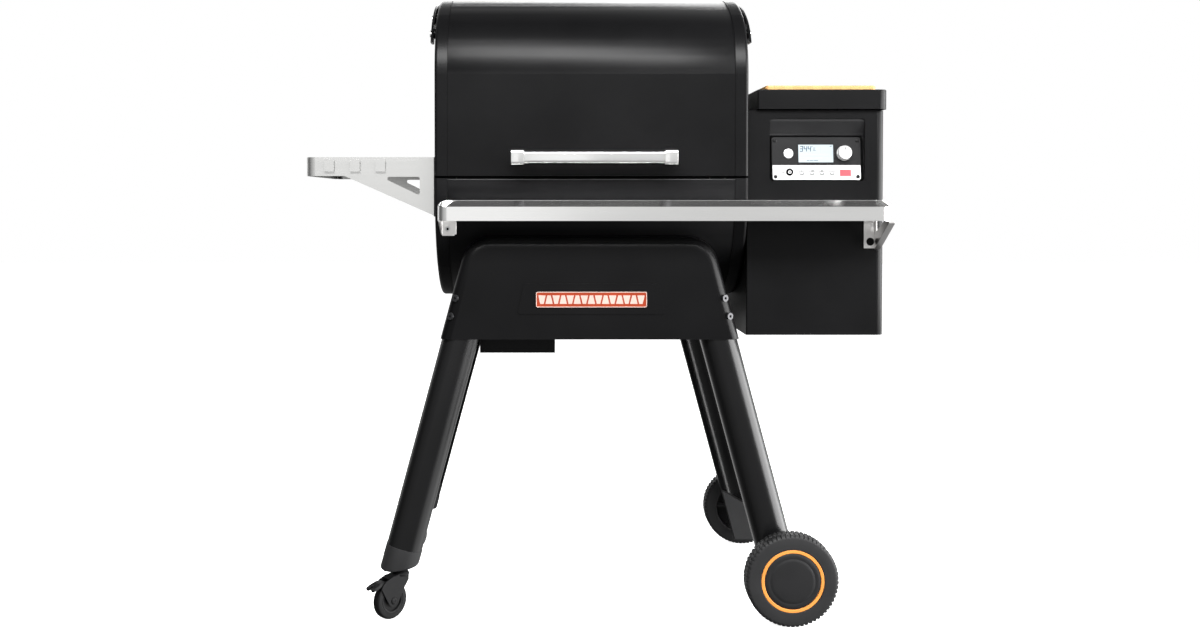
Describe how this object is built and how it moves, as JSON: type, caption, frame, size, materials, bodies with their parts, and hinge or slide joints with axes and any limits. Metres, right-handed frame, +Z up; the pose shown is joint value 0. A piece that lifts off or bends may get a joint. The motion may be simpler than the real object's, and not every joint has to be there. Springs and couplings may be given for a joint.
{
  "type": "pellet smoker grill",
  "caption": "Barrel smoker grill on a wheeled splayed-leg frame, with a hinged lid, a pellet hopper with control panel, and front and side shelves.",
  "frame": {"origin": "on the floor, at the middle of the grill's overall width and depth", "axes": "+X to the grill's right as seen from its front, +Y from front to rear, +Z up"},
  "size_m": [1.182, 0.677, 1.2739],
  "materials": {
    "black_paint": "semi-gloss",
    "enamel": "satin",
    "stainless": "brushed",
    "bright_steel": "bright",
    "bare_steel": "satin",
    "tyre_plastic": "matte",
    "grey_plastic": "matte",
    "amber": "satin",
    "badge_orange": "satin",
    "bamboo": "oiled",
    "gasket": "woven",
    "panel": "satin",
    "screen": "gloss",
    "key_plastic": "satin",
    "caster_tyre": "satin"
  },
  "bodies": {
    "grill": {"apron_front": "black_paint", "apron_rear": "black_paint", "legs": "black_paint", "frame_rails": "black_paint", "leg_bolts": "bright_steel", "badge": "badge_orange", "leg_feet": "grey_plastic", "wheel_axles": "bare_steel", "body_shell": "black_paint", "body_end_caps": "black_paint", "exhaust_hood": "black_paint", "heat_baffle": "bare_steel", "drip_tray": "bare_steel", "firepot": "bare_steel", "temperature_probe": "bright_steel", "grate_rails": "bare_steel", "cooking_grates": "enamel", "hinge_brackets": "black_paint", "shelf_mounts": "black_paint", "side_shelf": "stainless", "front_shelf": "stainless", "front_shelf_brackets": "stainless", "shelf_screws": "bright_steel", "grease_box": "black_paint", "hopper_body": "black_paint", "hopper_bin": "bare_steel", "control_bezel": "panel", "panel_plate": "panel", "screen": "screen", "controller_box": "grey_plastic", "power_inlet": "grey_plastic", "auger_tube": "bare_steel", "auger_motor": "bare_steel", "fan_housing": "grey_plastic"},
    "lid": {"lid_shell": "black_paint", "lid_end_caps": "black_paint", "lid_gasket": "gasket", "hinge_arms": "black_paint", "hinge_bolts": "bright_steel", "lid_handle": "stainless"},
    "hopper_cover": {"hopper_lid": "black_paint", "serving_board": "bamboo"},
    "knob": {"control_knob": "bright_steel"},
    "menu_key": {"menu_button": "key_plastic"},
    "power_key": {"power_button": "key_plastic"},
    "tray": {"grease_tray": "bare_steel"},
    "auger": {"auger_screw": "bare_steel"},
    "fan": {"fan_impeller": "grey_plastic"},
    "wheel_front": {"front_wheel": "tyre_plastic", "front_ring": "amber", "front_hub_cap": "tyre_plastic"},
    "wheel_rear": {"rear_wheel": "tyre_plastic", "rear_ring": "amber", "rear_hub_cap": "tyre_plastic"},
    "caster_front": {"front_caster_yoke": "bare_steel"},
    "caster_rear": {"rear_caster_yoke": "bare_steel"},
    "caster_wheel_front": {"front_caster_wheel": "caster_tyre"},
    "caster_wheel_rear": {"rear_caster_wheel": "caster_tyre"},
    "caster_brake_front": {"front_caster_brake": "grey_plastic"},
    "caster_brake_rear": {"rear_caster_brake": "grey_plastic"}
  },
  "joints": [
    {"name": "lid_hinge", "type": "hinge", "parent": "grill", "child": "lid", "pos_m": [0, 0.2855, 1.078], "axis": [-1, 0, 0], "range_deg": [0, 85]},
    {"name": "hopper_lid_hinge", "type": "hinge", "parent": "grill", "child": "hopper_cover", "pos_m": [0, 0.2075, 1.027], "axis": [-1, 0, 0], "range_deg": [0, 80]},
    {"name": "knob_turn", "type": "hinge", "parent": "grill", "child": "knob", "pos_m": [0.506, -0.2135, 0.93461], "axis": [0, 0.9914, -0.1305], "continuous": true},
    {"name": "menu_press", "type": "slide", "parent": "grill", "child": "menu_key", "axis": [0, 0.9914, -0.1305], "range_m": [0, 0.0015], "stiffness_N_per_m": 800, "springref_m": -0.001},
    {"name": "power_press", "type": "slide", "parent": "grill", "child": "power_key", "axis": [0, 0.9914, -0.1305], "range_m": [0, 0.0015], "stiffness_N_per_m": 800, "springref_m": -0.001},
    {"name": "grease_tray_slide", "type": "slide", "parent": "grill", "child": "tray", "axis": [-1, 0, 0], "range_m": [0, 0.18]},
    {"name": "auger_turn", "type": "hinge", "parent": "grill", "child": "auger", "pos_m": [0, 0.0085, 0.7], "axis": [1, 0, 0], "continuous": true},
    {"name": "fan_turn", "type": "hinge", "parent": "grill", "child": "fan", "pos_m": [0, 0.1035, 0.745], "axis": [1, 0, 0], "continuous": true},
    {"name": "front_wheel_roll", "type": "hinge", "parent": "grill", "child": "wheel_front", "pos_m": [0.385, -0.2985, 0.0915], "axis": [0, 1, 0], "continuous": true},
    {"name": "front_caster_swivel", "type": "hinge", "parent": "grill", "child": "caster_front", "pos_m": [-0.393, -0.2415, 0.092], "axis": [0, 0, 1], "continuous": true},
    {"name": "front_caster_roll", "type": "hinge", "parent": "caster_front", "child": "caster_wheel_front", "pos_m": [-0.41209, -0.26059, 0.0375], "axis": [-0.7071, 0.7071, 0], "continuous": true},
    {"name": "front_caster_brake", "type": "hinge", "parent": "caster_front", "child": "caster_brake_front", "pos_m": [-0.42765, -0.27615, 0.074], "axis": [-0.7071, 0.7071, 0], "range_deg": [0, 8]},
    {"name": "rear_wheel_roll", "type": "hinge", "parent": "grill", "child": "wheel_rear", "pos_m": [0.385, 0.3155, 0.0915], "axis": [0, 1, 0], "continuous": true},
    {"name": "rear_caster_swivel", "type": "hinge", "parent": "grill", "child": "caster_rear", "pos_m": [-0.393, 0.2585, 0.092], "axis": [0, 0, 1], "continuous": true},
    {"name": "rear_caster_roll", "type": "hinge", "parent": "caster_rear", "child": "caster_wheel_rear", "pos_m": [-0.41209, 0.23941, 0.0375], "axis": [-0.7071, 0.7071, 0], "continuous": true},
    {"name": "rear_caster_brake", "type": "hinge", "parent": "caster_rear", "child": "caster_brake_rear", "pos_m": [-0.42765, 0.22385, 0.074], "axis": [-0.7071, 0.7071, 0], "range_deg": [0, 8]}
  ]
}
